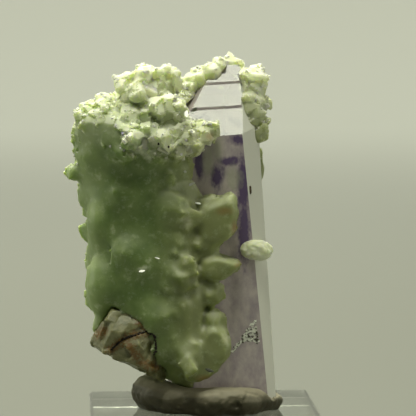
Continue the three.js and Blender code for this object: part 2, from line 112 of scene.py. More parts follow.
view_direction = Vector((0, math.cos(VIEW_ELEVATION), -math.sin(VIEW_ELEVATION)))
camera_data = bpy.data.cameras.new("viewpoint")
camera_data.sensor_width = SENSOR_MM
camera_data.lens = PX_PER_MM * VIEW_DISTANCE / MM * SENSOR_MM / PICTURE_SIDE_PX
camera_data.clip_start = 0.02
camera_data.clip_end = 20
camera = bpy.data.objects.new("viewpoint", camera_data)
camera.location = VIEW_TARGET - view_direction * VIEW_DISTANCE
camera.rotation_euler = view_direction.to_track_quat("-Z", "Y").to_euler()
bpy.context.scene.collection.objects.link(camera)
bpy.context.scene.camera = camera
bpy.context.scene.view_settings.view_transform = "Standard"

# Paper: matte and neutral, with painted shade that makes it a little darker where the specimen stands.
PAPER_PAINTED_SHADE_UNTIL = 0.1
PAPER_UNSHADED_FROM = 1.0
paper, tree = new_material("matte_paper_painted_shade")
place = add(tree, "ShaderNodeTexCoord")
spot = add(tree, "ShaderNodeSeparateXYZ", {"Vector": place.outputs["Object"]})
depth = add(tree, "ShaderNodeMapRange", {
    "Value": spot.outputs["Y"], "From Min": PAPER_PAINTED_SHADE_UNTIL, "From Max": PAPER_UNSHADED_FROM,
}, interpolation_type="SMOOTHSTEP")
paper_painted_shade = layered(tree, rgb("#7c7d77"), [(depth.outputs["Result"], "#b8b9b5")])
coat = add(tree, "ShaderNodeBsdfPrincipled", {"Base Color": paper_painted_shade, "Roughness": 0.9})
add(tree, "ShaderNodeOutputMaterial", {"Surface": coat.outputs["BSDF"]})

SWEEP_HALF_WIDTH = 3.0
SWEEP_FRONT = -3.0
SWEEP_BACK = 1.0
SWEEP_BEND = 0.6
SWEEP_TOP = 2.6
SWEEP_STEPS = 24
# The thin air under the base, which makes its underside a mirror from inside.
AIR_UNDER_BASE = 0.05 * MM
profile = [(SWEEP_FRONT, -AIR_UNDER_BASE)]
for step in range(SWEEP_STEPS + 1):
    bend = math.pi / 2 * step / SWEEP_STEPS
    rise = SWEEP_BEND * (1 - math.cos(bend)) - AIR_UNDER_BASE
    profile.append((SWEEP_BACK + SWEEP_BEND * math.sin(bend), rise))
profile.append((SWEEP_BACK + SWEEP_BEND, SWEEP_TOP))
floor_mesh = bpy.data.meshes.new("sweep")
floor_mesh.from_pydata(
    [(x, y, z) for y, z in profile for x in (-SWEEP_HALF_WIDTH, SWEEP_HALF_WIDTH)],
    [],
    [(2 * i, 2 * i + 1, 2 * i + 3, 2 * i + 2) for i in range(len(profile) - 1)],
)
floor = show("paper_sweep", floor_mesh, paper, smooth=True)


# The lamps' light is very slightly yellow.
LIGHT_TINT = "#fdffe9"
ROOM_GLOW = 0.07


def softbox(name, place, aim, size, power, spread=180):
    """A soft rectangular light of size (width, depth) in metres that looks at aim."""
    lamp = bpy.data.lights.new(name, "AREA")
    lamp.shape = "RECTANGLE"
    lamp.size, lamp.size_y = size
    lamp.energy = power
    lamp.spread = math.radians(spread)
    lamp.color = rgb(LIGHT_TINT)[:3]
    holder = bpy.data.objects.new(name, lamp)
    holder.location = place
    holder.rotation_euler = (Vector(aim) - Vector(place)).to_track_quat("-Z", "Y").to_euler()
    bpy.context.scene.collection.objects.link(holder)


softbox("overhead_softbox", (-0.033, -0.16, 0.517), VIEW_TARGET, (0.21, 0.21), 1.6)
softbox("high_rear_softbox", (-0.08, 0.2, 0.5), VIEW_TARGET, (0.3, 0.3), 2.8)
softbox("sweep_softbox", (0, 1.0, 1.2), (0, 1.15, 0), (2.4, 0.8), 12, spread=120)
softbox("left_fill", (-0.5, 0.1, 0.16), VIEW_TARGET, (0.3, 0.3), 0.6)
softbox("right_fill", (0.5, -0.1, 0.2), VIEW_TARGET, (0.3, 0.3), 0.6)

room = bpy.data.worlds.new("dim_room")
room.use_nodes = True
glow = room.node_tree.nodes["Background"]
glow.inputs["Color"].default_value = rgb(LIGHT_TINT)
glow.inputs["Strength"].default_value = ROOM_GLOW
bpy.context.scene.world = room


# Display base. A square of cast acrylic, sawn, bevelled and flame polished, so it is clear with
# bright edges and a few fine scratches on top. It stands loose and carries everything else.
ACRYLIC_EDGE_ROUND = 0.12 * MM
# Coarser than real scratches, so that they show at all.
SCRATCH_PITCH = 1.1 * MM
WELD_DISTANCE = 0.001 * MM
FLAT_WITHIN = math.radians(0.6)
SHARP_FROM = math.radians(8)


def node_mesh(node, name):
    """A copy of a solid's mesh with its corners welded and its flat faces made whole."""
    work = bmesh.new()
    work.from_mesh(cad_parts[node].data)
    bmesh.ops.remove_doubles(work, verts=work.verts, dist=WELD_DISTANCE)
    bmesh.ops.dissolve_limit(work, angle_limit=FLAT_WITHIN, verts=work.verts, edges=work.edges)
    mesh = bpy.data.meshes.new(name)
    work.to_mesh(mesh)
    work.free()
    return mesh


def round_edges(mesh, width, steps):
    """Rounds every sharp edge of a mesh a little."""
    work = bmesh.new()
    work.from_mesh(mesh)
    sharp = [e for e in work.edges if e.calc_face_angle(0) > SHARP_FROM]
    bmesh.ops.bevel(work, geom=sharp, offset=width, segments=steps, affect="EDGES", clamp_overlap=True)
    work.to_mesh(mesh)
    work.free()


# Cast acrylic: water clear, with bright edges and a faint wander in what it mirrors.
acrylic, tree = new_material("cast_acrylic")
place = add(tree, "ShaderNodeTexCoord")
scratch = add(tree, "ShaderNodeTexNoise", {
    "Vector": place.outputs["Object"], "Scale": 1 / SCRATCH_PITCH, "Detail": 3,
})
relief = add(tree, "ShaderNodeBump", {
    "Height": scratch.outputs["Fac"], "Strength": 0.05, "Distance": 0.1 * MM,
})
clear = add(tree, "ShaderNodeBsdfPrincipled", {
    "Base Color": rgb("#f6f8f2"), "Roughness": 0.03, "IOR": 1.49, "Transmission Weight": 1,
    "Normal": relief.outputs["Normal"],
})
add(tree, "ShaderNodeOutputMaterial", {"Surface": clear.outputs["BSDF"]})

base_mesh = node_mesh("display_base", "display_base_block")
round_edges(base_mesh, ACRYLIC_EDGE_ROUND, 2)
base = show("acrylic_block", base_mesh, acrylic)
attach(base, "root")
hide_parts("display_base")


# Mounting putty. A roll of grey-brown museum putty pressed on the base by hand and pushed round
# the crystal's foot. It is matte with a faint oily sheen, dented by a tool and creased.
PUTTY_VOXEL = 0.34 * MM
# Soft swells left by the fingers: height and size in millimetres, and seed.
PUTTY_SWELLS = [(0.28, 3.2, 1), (0.07, 0.9, 2)]
# Wrinkles that run up and down, and deeper creases: X and Z of their ends, in millimetres.
WRINKLE_SIZE = 1.5 * MM
WRINKLE_STRETCH = [1, 1, 0.55]
WRINKLE_REACH = 0.12
WRINKLE_DEPTH = 0.12
PUTTY_CREASES = [
    ((4.4, 12.9), (2.1, 10.7)), ((7.2, 13.9), (5.9, 11.1)), ((10.7, 13.9), (11.5, 12.3)),
    ((-11.2, 11.6), (-11.9, 13.7)), ((11.8, 13.2), (12.9, 12.6)), ((3.2, 12.9), (1.3, 11.2)),
]
CREASE_HALF_WIDTH = 0.32
CREASE_DEPTH = 0.2 * MM
DENT_AT = Vector((5.4, -10.1, 11.9)) * MM
DENT_REACH = 0.62 * MM
DENT_DEPTH = 0.75 * MM
DENT_STRETCH = [1, 0.35, 0.8]
# The foot is squashed: it lies flat up to the first height and then bulges up to the second.
BASE_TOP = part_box("display_base")[1].z
PUTTY_FLAT = 0.3 * MM
PUTTY_FOOT = 0.75 * MM
PUTTY_FOOT_BULGE = 1.6
PUTTY_CLOUD = 2.4 * MM
PUTTY_PORES = 0.35 * MM


def remeshed(mesh, name, voxel):
    """A mesh rebuilt in small even quads, so that its parts are fused and can be worked on."""
    holder = bpy.data.objects.new(name, mesh)
    bpy.context.scene.collection.objects.link(holder)
    remesh = holder.modifiers.new("even", "REMESH")
    remesh.mode = "VOXEL"
    remesh.voxel_size = voxel
    graph = bpy.context.evaluated_depsgraph_get()
    made = bpy.data.meshes.new_from_object(holder.evaluated_get(graph))
    made.name = name
    bpy.data.objects.remove(holder)
    return made


def points_of(mesh):
    """A mesh's points as rows of X, Y and Z."""
    spots = np.zeros(len(mesh.vertices) * 3, np.float32)
    mesh.vertices.foreach_get("co", spots)
    return spots.reshape(-1, 3)


def normals_of(mesh):
    """The way the surface looks at each point of a mesh."""
    ways = np.zeros(len(mesh.vertices) * 3, np.float32)
    mesh.vertex_normals.foreach_get("vector", ways)
    return ways.reshape(-1, 3)


def set_points(mesh, spots):
    """Moves a mesh's points."""
    mesh.vertices.foreach_set("co", spots.astype(np.float32).ravel())
    mesh.update()


def waviness(spots, size, seed):
    """Smooth noise from -1 to 1 at each point, with swells of about the given size."""
    shift = Vector((seed * 7.3, seed * 3.1, seed * 5.7))
    return np.array([noise.noise(Vector(p) / size + shift) for p in spots])


def swells(spots, layers):
    """The height in millimetres of some layers of smooth noise at each point."""
    return sum(height * waviness(spots, size * MM, seed) for height, size, seed in layers)


def off_line(spots, start, end):
    """How far points are from a line, seen from the front, in millimetres."""
    leg = np.array(end) - start
    from_start = spots[:, [0, 2]] / MM - start
    along = np.clip(from_start @ leg / (leg @ leg), 0, 1)
    return np.linalg.norm(from_start - along[:, None] * leg, axis=1)


putty_mesh = remeshed(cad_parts["mounting_putty"].data.copy(), "putty_roll_mesh", PUTTY_VOXEL)
spots = points_of(putty_mesh)
normals = normals_of(putty_mesh)
swell = swells(spots, PUTTY_SWELLS)
wrinkles = np.abs(waviness(spots * WRINKLE_STRETCH, WRINKLE_SIZE, 3))
swell -= WRINKLE_DEPTH * np.clip(1 - wrinkles / WRINKLE_REACH, 0, 1)
spots = spots + normals * (swell * MM)[:, None]
for start, end in PUTTY_CREASES:
    in_front = normals[:, 1] < 0.2
    pressed = np.clip(1 - off_line(spots, start, end) / CREASE_HALF_WIDTH, 0, 1) * in_front
    spots = spots - normals * (CREASE_DEPTH * pressed)[:, None]
to_dent = np.linalg.norm((spots - np.array(DENT_AT)) * DENT_STRETCH, axis=1)
spots[:, 1] += DENT_DEPTH * np.clip(1 - to_dent / DENT_REACH, 0, 1) ** 0.6
foot = spots[:, 2] < BASE_TOP + PUTTY_FOOT
spots[foot, 2] = BASE_TOP + np.maximum(0, spots[foot, 2] - BASE_TOP - PUTTY_FLAT) * PUTTY_FOOT_BULGE
set_points(putty_mesh, spots)

# Museum putty: dark grey-brown in faint clouds, dull and finely pored, and paler on upward faces as
# painted light from above.
putty_clay, tree = new_material("pressed_museum_putty")
place = add(tree, "ShaderNodeTexCoord")
cloud = add(tree, "ShaderNodeTexNoise", {
    "Vector": place.outputs["Object"], "Scale": 1 / PUTTY_CLOUD, "Detail": 4, "Roughness": 0.6,
})
tone = add(tree, "ShaderNodeValToRGB", {"Fac": cloud.outputs["Fac"]}, [
    (0.3, "#454331"), (0.72, "#5f5b47"),
])
surface = add(tree, "ShaderNodeNewGeometry")
facing = add(tree, "ShaderNodeSeparateXYZ", {"Vector": surface.outputs["Normal"]})
putty_top_light_share = add(tree, "ShaderNodeMapRange", {
    "Value": facing.outputs["Z"], "From Min": 0.1, "From Max": 0.8, "To Max": 0.85,
})
putty_painted_top_light = layered(tree, tone.outputs["Color"], [(putty_top_light_share.outputs["Result"], "#aaa38d")])
pores = add(tree, "ShaderNodeTexNoise", {
    "Vector": place.outputs["Object"], "Scale": 1 / PUTTY_PORES, "Detail": 3,
})
relief = add(tree, "ShaderNodeBump", {
    "Height": pores.outputs["Fac"], "Strength": 0.35, "Distance": 0.08 * MM,
})
clay = add(tree, "ShaderNodeBsdfPrincipled", {
    "Base Color": putty_painted_top_light, "Roughness": 0.55, "Specular IOR Level": 0.4,
    "Normal": relief.outputs["Normal"],
})
add(tree, "ShaderNodeOutputMaterial", {"Surface": clay.outputs["BSDF"]})

putty = show("putty_roll", putty_mesh, putty_clay, smooth=True)
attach(putty, "root")
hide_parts("mounting_putty")


# Amethyst crystal. One quartz crystal with flat growth faces: a tall prism and a termination that
# climbs in bands. It is clear, with purple in zones. The termination is a mirror, the prism faces
# are finely etched, and the right one is milky.
CRYSTAL_EDGE_ROUND = 0.05 * MM
MILKY_FACES_WAY = (0.905, -0.3, 0.3)
TERMINATION_WAY = (0, -0.79, 0.615)
ZONE_CLOUD_SIZE = 1.9 * MM
# Coarser than real striations, which are finer than a pixel.
STRIATION_PITCH = 3.2 * MM
# How far the clouds pull a zone's rim about, and where its colour starts and is full.
ZONE_RAGGEDNESS = 3.4
ZONE_RIM = 0.1
ZONE_FULL = -1.0
# Zones of growth that run through the crystal: X, Z, half width and half height, in millimetres.
PURPLE_ZONES = [
    (5.6, 55.4, 1.2, 0.8), (4.0, 51.8, 1.6, 0.6), (2.3, 49.3, 0.9, 1.9), (-0.7, 51.6, 0.6, 2.2),
    (6.4, 47.5, 0.9, 3.6), (6.7, 41.5, 0.9, 5.0), (0.2, 55.2, 1.1, 0.8),
]
# Windows where a pale green tint is painted on for the prehnite seen through the crystal, a painted
# view, in the same columns.
PAINTED_SEE_THROUGH_ZONES = [
    (0.7, 52.0, 0.7, 1.7), (4.7, 48.6, 0.9, 1.6), (2.4, 54.0, 0.7, 1.8),
]

crystal_mesh = node_mesh("amethyst_crystal", "amethyst_mesh")
round_edges(crystal_mesh, CRYSTAL_EDGE_ROUND, 1)

# Amethyst: pale lilac glass with dark purple clouds, and greenish windows where the green prehnite
# behind is painted on as a tint. The termination mirrors the lamp, the front face is a little blurred
# and the right face is greyish white.
amethyst, tree = new_material("amethyst_quartz")
place = add(tree, "ShaderNodeTexCoord")
surface = add(tree, "ShaderNodeNewGeometry")


def facing_share(way, low, high):
    """How nearly a flat face looks one way, or the opposite way, as a share from 0 to 1."""
    along = add(tree, "ShaderNodeVectorMath", {
        0: surface.outputs["True Normal"], 1: way,
    }, operation="DOT_PRODUCT")
    either = add(tree, "ShaderNodeMath", {0: along.outputs["Value"]}, operation="ABSOLUTE")
    share = add(tree, "ShaderNodeMapRange", {
        "Value": either.outputs["Value"], "From Min": low, "From Max": high,
    })
    return share.outputs["Result"]


def zone_share(zones, strength):
    """How deep in one of some zones a spot lies, from 0 outside to strength, with a cloudy rim."""
    deepest = 0.0
    for x, z, half_x, half_z in zones:
        offset = add(tree, "ShaderNodeVectorMath", {
            0: place.outputs["Object"], 1: Vector((x, 0, z)) * MM,
        }, operation="SUBTRACT")
        measured = add(tree, "ShaderNodeVectorMath", {
            0: offset.outputs["Vector"], 1: (1 / half_x / MM, 0, 1 / half_z / MM),
        }, operation="MULTIPLY")
        apart = add(tree, "ShaderNodeVectorMath", {0: measured.outputs["Vector"]}, operation="LENGTH")
        ragged = add(tree, "ShaderNodeMath", {
            0: cloud.outputs["Fac"], 1: -ZONE_RAGGEDNESS, 2: apart.outputs["Value"],
        }, operation="MULTIPLY_ADD")
        inside = add(tree, "ShaderNodeMapRange", {
            "Value": ragged.outputs["Value"], "From Min": ZONE_RIM, "From Max": ZONE_FULL,
            "To Max": strength,
        })
        largest = add(tree, "ShaderNodeMath", {
            0: inside.outputs["Result"], 1: deepest,
        }, operation="MAXIMUM")
        deepest = largest.outputs["Value"]
    return deepest


milky = facing_share(MILKY_FACES_WAY, 0.6, 0.7)
mirror = facing_share(TERMINATION_WAY, 0.94, 0.98)
drawn_out = add(tree, "ShaderNodeMapping", {
    "Vector": place.outputs["Object"], "Scale": (1, 1, 0.6), "Rotation": (0, 0.2, 0),
})
cloud = add(tree, "ShaderNodeTexNoise", {
    "Vector": drawn_out.outputs["Vector"], "Scale": 1 / ZONE_CLOUD_SIZE, "Detail": 6, "Roughness": 0.65,
})
purple_zones = zone_share(PURPLE_ZONES, 0.95)
painted_see_through_share = zone_share(PAINTED_SEE_THROUGH_ZONES, 0.6)
haze_cloud = add(tree, "ShaderNodeMapRange", {
    "Value": cloud.outputs["Fac"], "From Min": 0.36, "From Max": 0.66, "To Min": 0.04, "To Max": 0.45,
})
purple = add(tree, "ShaderNodeMath", {
    0: purple_zones, 1: haze_cloud.outputs["Result"],
}, operation="MAXIMUM")
skin = layered(tree, rgb("#f4e8e6"), [
    (purple.outputs["Value"], "#6c598a"), (painted_see_through_share, "#d2d6bb"), (milky, "#f0f1e6"),
    (mirror, "#dedada"),
])
polish = add(tree, "ShaderNodeMapRange", {"Value": mirror, "To Min": 0.42, "To Max": 0.9})
clearness = add(tree, "ShaderNodeMath", {
    0: milky, 1: -0.2, 2: polish.outputs["Result"],
}, operation="MULTIPLY_ADD")
etching = add(tree, "ShaderNodeMapRange", {"Value": mirror, "To Min": 0.22, "To Max": 0.03})
ripples = add(tree, "ShaderNodeTexWave", {
    "Vector": place.outputs["Object"], "Scale": 1 / STRIATION_PITCH, "Distortion": 2.2, "Detail": 3,
}, bands_direction="Z")
relief = add(tree, "ShaderNodeBump", {
    "Height": ripples.outputs["Fac"], "Strength": 0.12, "Distance": 0.03 * MM,
})
gem = add(tree, "ShaderNodeBsdfPrincipled", {
    "Base Color": skin, "Roughness": etching.outputs["Result"], "IOR": 1.544,
    "Transmission Weight": clearness.outputs["Value"], "Normal": relief.outputs["Normal"],
})
depth = add(tree, "ShaderNodeVolumeAbsorption", {"Color": rgb("#dccfd8"), "Density": 16})
add(tree, "ShaderNodeOutputMaterial", {
    "Surface": gem.outputs["BSDF"], "Volume": depth.outputs["Volume"],
})

crystal = show("amethyst", crystal_mesh, amethyst)
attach(crystal, "root")
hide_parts("amethyst_crystal")


# Marks in the amethyst. A small brown grain sits in the milky face, and a fracture near the foot
# shows as a scatter of tiny bright and dark flakes.
GRAIN_SPOT = (7.6, 47.0)
GRAIN_REACH = Vector((0.26, 0.2, 0.75)) * MM
GRAIN_BUMP_SIZE = 0.3 * MM
GRAIN_BUMP = 0.1 * MM
FLAKE_COUNT = 420
FLAKE_SIZE = 0.3 * MM
FLAKE_CORNERS = [(1, 0.1), (0.2, 0.8), (-0.9, 0.3), (-0.4, -0.7), (0.5, -0.6)]
# A flake's height over the face and its thickness, as shares of its half size.
FLAKE_LIFT = 0.12
FLAKE_THICKNESS = 0.2
PATCH_SIZE = 0.5 * MM
# The fracture's three corners on the front face, X and Z in millimetres: foot, top, right.
FRACTURE_FOOT = Vector((4.7, 20.2))
FRACTURE_TOP = Vector((8.5, 25.8))
FRACTURE_RIGHT = Vector((9.1, 21.6))
# Looks from the front start here: Y in millimetres.
LOOK_FROM = -100


def closed_shape(mesh):
    """A mesh as a shape that rays can be cast at."""
    return BVHTree.FromPolygons(
        [v.co.copy() for v in mesh.vertices], [list(p.vertices) for p in mesh.polygons])


def front_of(x, z, *shapes):
    """Where a look straight from the front, at X and Z in millimetres, first meets one of some
    shapes, and the way the surface looks there."""
    met = [shape.ray_cast(Vector((x, LOOK_FROM, z)) * MM, Vector((0, 1, 0)))[:2] for shape in shapes]
    return min((m for m in met if m[0]), key=lambda m: m[0].y, default=(None, None))


def ball_parts(level, reach, at, turn=Matrix()):
    """Points and faces of a faceted ball with the given half sizes, turned and put in place."""
    work = bmesh.new()
    bmesh.ops.create_icosphere(work, subdivisions=level, radius=1)
    grow = Matrix.Diagonal(Vector(reach)).to_4x4()
    bmesh.ops.transform(work, verts=work.verts, matrix=Matrix.Translation(at) @ turn @ grow)
    parts = [v.co.copy() for v in work.verts], [[v.index for v in f.verts] for f in work.faces]
    work.free()
    return parts


def one_colour(name, colour, roughness):
    """A material of one colour all over."""
    material, tree = new_material(name)
    stuff = add(tree, "ShaderNodeBsdfPrincipled", {"Base Color": rgb(colour), "Roughness": roughness})
    add(tree, "ShaderNodeOutputMaterial", {"Surface": stuff.outputs["BSDF"]})
    return material


def joined_mesh(name, parts):
    """One mesh out of many given as (points, faces)."""
    points = []
    faces = []
    for some, around in parts:
        start = len(points)
        points.extend(some)
        faces.extend([start + i for i in face] for face in around)
    mesh = bpy.data.meshes.new(name)
    mesh.from_pydata(points, [], faces)
    mesh.update()
    return mesh


crystal_shape = closed_shape(crystal_mesh)

# The grain: a dull dark brown speck.
brown_grain = one_colour("brown_grain", "#3a2a10", 0.4)
grain_at = front_of(*GRAIN_SPOT, crystal_shape)[0]
grain_mesh = joined_mesh("grain_mesh", [ball_parts(3, GRAIN_REACH, grain_at)])
spots = points_of(grain_mesh)
bumps = waviness(spots, GRAIN_BUMP_SIZE, 8) * GRAIN_BUMP
set_points(grain_mesh, spots + normals_of(grain_mesh) * bumps[:, None])
grain = show("brown_grain", grain_mesh, brown_grain, smooth=True)
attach(grain, "root")

# The open fracture: painted glints and painted shade, silvery white patches beside dark ones that stand
# for flakes catching the light or not.
open_fracture, tree = new_material("open_fracture")
place = add(tree, "ShaderNodeTexCoord")
patchy = add(tree, "ShaderNodeTexNoise", {
    "Vector": place.outputs["Object"], "Scale": 1 / PATCH_SIZE,
})
tone = add(tree, "ShaderNodeValToRGB", {"Fac": patchy.outputs["Fac"]}, [
    (0.43, "#524f45"), (0.52, "#eceee4"),
])
shine = add(tree, "ShaderNodeBsdfPrincipled", {
    "Base Color": tone.outputs["Color"], "Roughness": 0.15,
})
add(tree, "ShaderNodeOutputMaterial", {"Surface": shine.outputs["BSDF"]})
rng = np.random.default_rng(21)
flakes = []
for _ in range(FLAKE_COUNT):
    up_the_edge = rng.random() ** 0.55
    off_the_edge = rng.random() * up_the_edge ** 2
    flat = FRACTURE_FOOT.lerp(FRACTURE_TOP, up_the_edge)
    flat = flat + (FRACTURE_RIGHT - FRACTURE_TOP) * off_the_edge + Vector(rng.normal(0, 0.1, 2))
    seat, way = front_of(flat.x, flat.y, crystal_shape)
    if seat is None:
        continue
    half = float(FLAKE_SIZE * (0.2 + 0.8 * rng.random() ** 2))
    turn = Matrix.Rotation(rng.random() * 6.3, 3, way)
    across = turn @ way.orthogonal().normalized()
    along = way.cross(across)
    lean = [float(part) for part in (rng.random(2) - 0.5) * 0.6]
    ring = [seat + half * (a * across + b * along + (FLAKE_LIFT + lean[0] * a + lean[1] * b) * way)
            for a, b in FLAKE_CORNERS]
    heel = [point - FLAKE_THICKNESS * half * way for point in ring]
    sides = [(i, (i + 1) % 5, (i + 1) % 5 + 5, i + 5)[::-1] for i in range(5)]
    flakes.append((ring + heel, [(0, 1, 2, 3, 4), (9, 8, 7, 6, 5), *sides]))
fracture = show("fracture_flakes", joined_mesh("fracture_mesh", flakes), open_fracture)
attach(fracture, "root")


# Prehnite mass. Pale green prehnite that grew as rounded heads of small tabular crystals, fused
# where they touch. It is waxy and translucent, deep green and smooth on the front wall, and
# sugary with small crystals on the cap, the crown and the back.
BODY_VOXEL = 0.33 * MM

# Lobes that the plain solid leaves out: along the crown's ridge over the top band of the
# amethyst, down its right shoulder, the strip behind its right edge, and the lens in the cap.
# Place and half sizes in millimetres.
LOBES = [
    ((-2.5, 1.3, 62.9), (1.3, 1.0, 1.2)),
    ((-0.9, 1.7, 64.5), (1.5, 1.0, 1.2)),
    ((1.3, 2.1, 65.9), (1.4, 0.9, 1.25)),
    ((2.6, 2.8, 66.9), (1.0, 0.8, 0.8)),
    ((7.3, 1.8, 65.2), (0.9, 1.2, 1.6)),
    ((8.1, 1.0, 63.9), (1.8, 2.0, 2.3)),
    ((8.0, -0.5, 60.0), (1.5, 1.7, 3.0)),
    ((8.9, -0.2, 56.4), (0.9, 1.4, 2.3)),
    ((9.1, 4.4, 50.2), (0.95, 2.2, 3.3)),
    ((-6.2, -9.6, 60.4), (2.9, 1.8, 2.1)),
]
# Outlines of the lobes that lap over the amethyst's front face, seen from the front: X and Z.
FRONT_LOBES = [
    [(2.0, 45.8), (4.9, 47.0), (5.5, 45.3), (5.7, 43.4), (5.1, 41.2), (4.8, 40.0), (2.8, 38.3),
     (1.2, 37.3), (-0.6, 38.5), (-1.2, 42.2), (-0.6, 44.8)],
    [(1.6, 36.6), (3.0, 36.4), (5.8, 35.5), (6.0, 34.9), (5.0, 33.9), (3.3, 32.5), (1.2, 32.3),
     (-0.8, 33.4), (-0.4, 35.8)],
    [(-3.2, 18.8), (0.0, 19.6), (2.4, 18.8), (2.5, 17.5), (0.7, 16.3), (-1.2, 15.5), (-3.0, 15.7)],
    [(0.2, 24.8), (2.0, 25.4), (3.7, 24.3), (4.5, 21.9), (3.9, 19.6), (2.6, 18.0), (0.7, 17.4),
     (-1.0, 20.2), (-1.1, 22.6)],
]
# Slices of such a lobe from its back to its front: Y, and its width as a share of the outline's.
LOBE_SLICES = [(-5.6, 0.95), (-7.0, 1.0), (-9.0, 0.96), (-9.9, 0.7)]
# Soft lumps on the front wall: X, Z, half width and half height, in millimetres.
WALL_LUMPS = [
    (-2.7, 42.8, 2.6, 1.9), (-1.5, 48.5, 1.6, 2.2), (-4.3, 39.0, 1.0, 1.4), (-8.7, 36.3, 1.1, 0.8),
    (-10.2, 34.6, 1.1, 0.7), (-3.0, 36.0, 1.2, 1.0), (-0.7, 23.3, 1.4, 1.1), (-2.0, 18.8, 1.3, 1.0),
    (-3.5, 28.6, 1.1, 1.2), (-14.9, 40.5, 1.0, 2.4), (-6.2, 31.4, 1.2, 0.8), (-5.6, 49.0, 1.2, 1.0),
]
LUMP_HEIGHT = 0.45 * MM
# The lobes' cloudy rims, and where iron has stained the prehnite ochre: the lobes' outer edges,
# the foot and the band's end.
LOBE_RIMS = [(4.6, 45.6, 1.5, 1.3), (5.3, 35.1, 0.9, 0.8), (1.4, 46.0, 1.6, 0.8), (3.6, 22.8, 1.2, 1.6)]
STAINED_SPOTS = [
    (0.0, 16.4, 1.6, 0.7), (5.0, 41.2, 0.6, 1.4), (3.4, 44.0, 1.6, 0.8), (5.6, 35.1, 0.7, 0.5),
    (1.0, 56.2, 0.8, 0.7),
]
CLOUDY_EDGE = 1.1
STAIN_EDGE = 1.2
# Crystals keep this far off the amethyst.
EDGE_OF_AMETHYST = 0.4 * MM
BLOCK_TAPER = 0.86
PREHNITE_SWELLS = [(0.12, 4.2, 11), (0.05, 1.5, 12)]
WALL_EASING_ROUNDS = 40
JOINT_EASING_ROUNDS = 4
EASING_STEP = 0.7
FACET_PITCH = 1.5 * MM
FACET_DEPTH = 0.26 * MM
# Where more than this share of a face is sugary, it is shaded flat.
FLAT_SHADED_FROM = 0.6
PREHNITE_CLOUD = 3.6 * MM
PREHNITE_VEIL = 1.4 * MM
# Coarser than the real sugar grain of about 0.1 mm, which would be too fine to see.
PREHNITE_GRAIN = 0.5 * MM


def share_between(values, low, high):
    """0 at low, 1 at high, and even between them."""
    return np.clip((values - low) / (high - low), 0, 1)


def block_parts(taper, bevel=0):
    """Points and faces of a block crystal of size 1: a tapered box, its edges taken off."""
    work = bmesh.new()
    bmesh.ops.create_cube(work, size=1)
    for vert in work.verts:
        if vert.co.z > 0:
            vert.co.x *= taper
            vert.co.y *= taper
    if bevel:
        bmesh.ops.bevel(work, geom=work.edges[:], offset=bevel, segments=1, affect="EDGES")
    points = np.array([v.co[:] for v in work.verts])
    faces = [[v.index for v in f.verts] for f in work.faces]
    work.free()
    return points, faces


def outlined_lobe(outline):
    """A lobe with the given outline that swells to the front, as points and faces."""
    middle = sum((Vector(p) for p in outline), Vector((0, 0))) / len(outline)
    count = len(outline)
    points = []
    for y, share in LOBE_SLICES:
        for p in outline:
            out = middle + (Vector(p) - middle) * share
            points.append(Vector((out.x, y, out.y)) * MM)
    last = (len(LOBE_SLICES) - 1) * count
    sides = [(start + i, start + (i + 1) % count, start + count + (i + 1) % count, start + count + i)
             for start in range(0, last, count) for i in range(count)]
    return points, [list(range(count))[::-1], *sides, list(range(last, last + count))]


def spots_on(mesh, count, rng):
    """Points spread evenly over a mesh's surface, each with the way the surface looks there."""
    mesh.calc_loop_triangles()
    corners = np.zeros(len(mesh.loop_triangles) * 3, np.int32)
    mesh.loop_triangles.foreach_get("vertices", corners)
    at = points_of(mesh)[corners.reshape(-1, 3)].astype(float)
    cross = np.cross(at[:, 1] - at[:, 0], at[:, 2] - at[:, 0])
    area = np.linalg.norm(cross, axis=1)
    chosen = rng.choice(len(area), count, p=area / area.sum())
    u, v = rng.random((2, count))
    over = u + v > 1
    u[over], v[over] = 1 - u[over], 1 - v[over]
    edge_u = at[chosen, 1] - at[chosen, 0]
    edge_v = at[chosen, 2] - at[chosen, 0]
    return at[chosen, 0] + u[:, None] * edge_u + v[:, None] * edge_v, cross[chosen] / area[chosen, None]


def grown(mesh, template, keep, tries, size, proportions, tilt, sink, seed):
    """Crystals on the part of a mesh that keep picks out, each leaning its own way and sunk a
    share of its height. Size is in millimetres. Gives the points, the faces and each one's shade."""
    rng = np.random.default_rng(seed)
    spots, ways = spots_on(mesh, tries, rng)
    clear = np.array([crystal_shape.find_nearest(Vector(p))[3] > EDGE_OF_AMETHYST for p in spots])
    kept = clear & keep(spots / MM, ways)
    spots, ways = spots[kept], ways[kept]
    count = len(spots)
    grow = size * MM * (0.6 + 0.9 * rng.random(count) ** 2)
    sizes = grow[:, None] * np.array(proportions) * (0.8 + 0.4 * rng.random((count, 3)))
    out = ways + rng.normal(0, tilt, (count, 3))
    out /= np.linalg.norm(out, axis=1)[:, None]
    side = np.cross(out, rng.normal(0, 1, (count, 3)))
    side /= np.linalg.norm(side, axis=1)[:, None]
    third = np.cross(out, side)
    seats = spots + out * (sizes[:, 2] * (0.5 - sink))[:, None]
    scaled = template[0][None] * sizes[:, None, :]
    placed = (scaled[..., :1] * side[:, None] + scaled[..., 1:2] * third[:, None]
              + scaled[..., 2:] * out[:, None] + seats[:, None])
    step = len(template[0])
    faces = [[start + i for i in face] for start in range(0, count * step, step) for face in template[1]]
    return placed.reshape(-1, 3).tolist(), faces, np.repeat(rng.random(count) - 0.5, step)


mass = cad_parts["prehnite_mass"].data
mass_shape = closed_shape(mass)
mass_parts = [v.co.copy() for v in mass.vertices], [list(p.vertices) for p in mass.polygons]
lobe_parts = [ball_parts(3, Vector(reach) * MM, Vector(at) * MM) for at, reach in LOBES]
for x, z, half_x, half_z in WALL_LUMPS:
    half_sizes = Vector((half_x * MM, LUMP_HEIGHT, half_z * MM))
    lobe_parts.append(ball_parts(3, half_sizes, front_of(x, z, mass_shape)[0]))
plain_mesh = joined_mesh("prehnite_with_lobes", [mass_parts, *lobe_parts])
lobe_parts += [outlined_lobe(outline) for outline in FRONT_LOBES]

